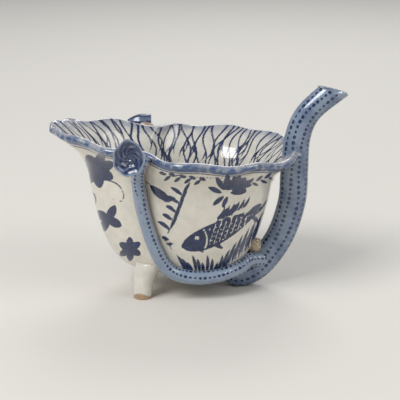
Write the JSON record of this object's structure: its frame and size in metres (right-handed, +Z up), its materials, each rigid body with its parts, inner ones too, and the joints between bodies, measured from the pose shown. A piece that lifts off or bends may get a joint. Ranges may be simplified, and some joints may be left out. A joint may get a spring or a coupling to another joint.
{
  "type": "straw cup",
  "caption": "Leaf-shaped porcelain drinking cup with a hollow stem that serves as straw and handle, clasping branches and short feet.",
  "frame": {"origin": "middle of the cup's outline, on the surface it stands on", "axes": "+Z up, +X from the leaf tip toward the straw, -Y toward the viewer of the picture"},
  "size_m": [0.1218, 0.0726, 0.0846],
  "materials": {
    "painted_porcelain": "glossy clear glaze over cobalt painting",
    "dotted_stem_glaze": "glossy pale blue wash with dark blue dots",
    "dark_cobalt_glaze": "glossy dark blue glaze",
    "foot_porcelain": "glossy glaze, bare tan clay at the sole",
    "bare_clay": "matt unglazed clay"
  },
  "bodies": {
    "root": {"leaf_bowl": "painted_porcelain", "straw_tube": "dotted_stem_glaze", "front_branch": "dotted_stem_glaze", "rear_branch": "dotted_stem_glaze", "front_leaf": "dark_cobalt_glaze", "rear_pod": "dark_cobalt_glaze", "front_foot": "foot_porcelain", "rear_foot": "foot_porcelain", "luting_wad": "bare_clay"}
  },
  "joints": []
}
